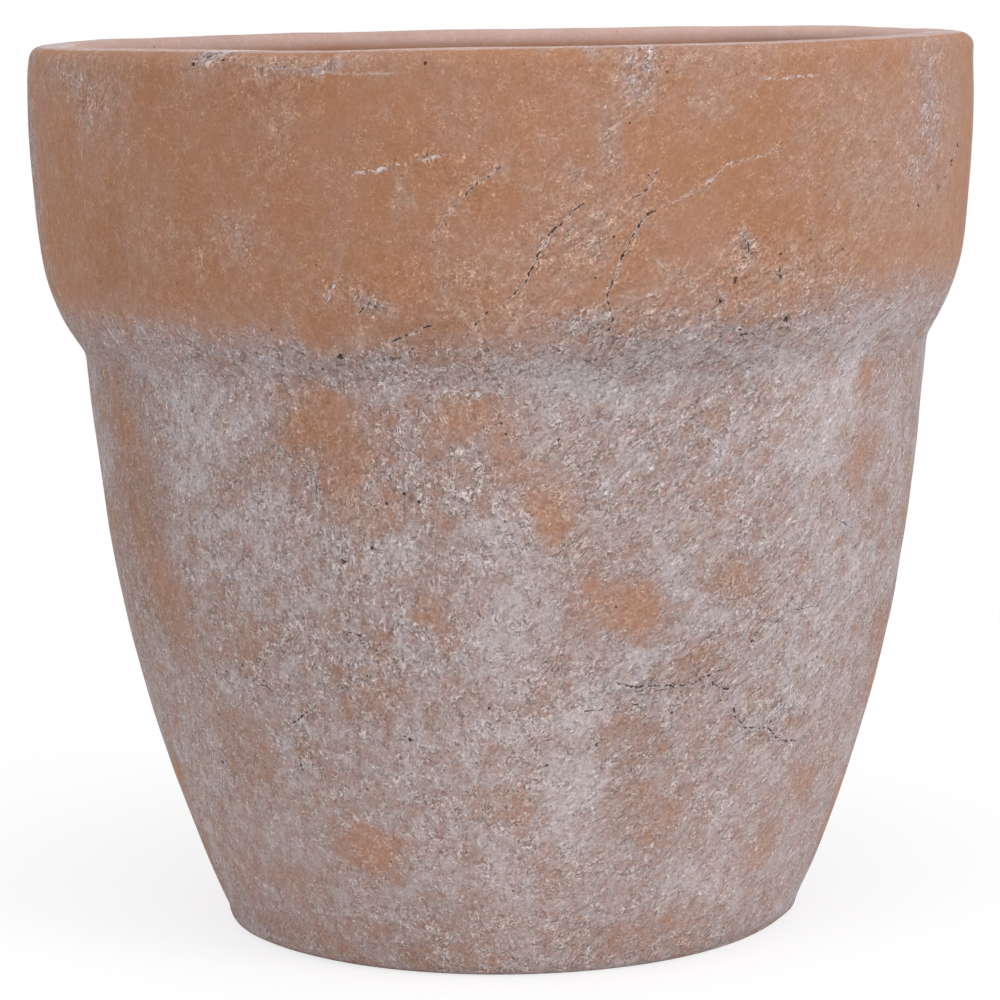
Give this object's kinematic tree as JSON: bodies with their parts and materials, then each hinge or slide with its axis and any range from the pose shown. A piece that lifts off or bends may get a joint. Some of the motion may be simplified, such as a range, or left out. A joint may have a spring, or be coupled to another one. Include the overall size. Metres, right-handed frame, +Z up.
{
  "type": "floor planter",
  "caption": "Round bell-shaped floor planter with a deep collar, thick rim, recessed foot and a drain hole closed by a pull-out rubber bung.",
  "frame": {"origin": "centre of the foot ring, on the ground", "axes": "+Z up along the pot's axis; the pot is round, so X and Y are free, and the picture looks along +Y"},
  "size_m": [0.4, 0.4, 0.378],
  "materials": {
    "clay": "matte",
    "bung_rubber": "matte"
  },
  "bodies": {
    "pot": {"pot_shell": "clay"},
    "bung": {"drain_bung": "bung_rubber"}
  },
  "joints": [
    {"name": "bung_lift", "type": "slide", "parent": "pot", "child": "bung", "axis": [0, 0, 1], "range_m": [0, 0.4]}
  ]
}
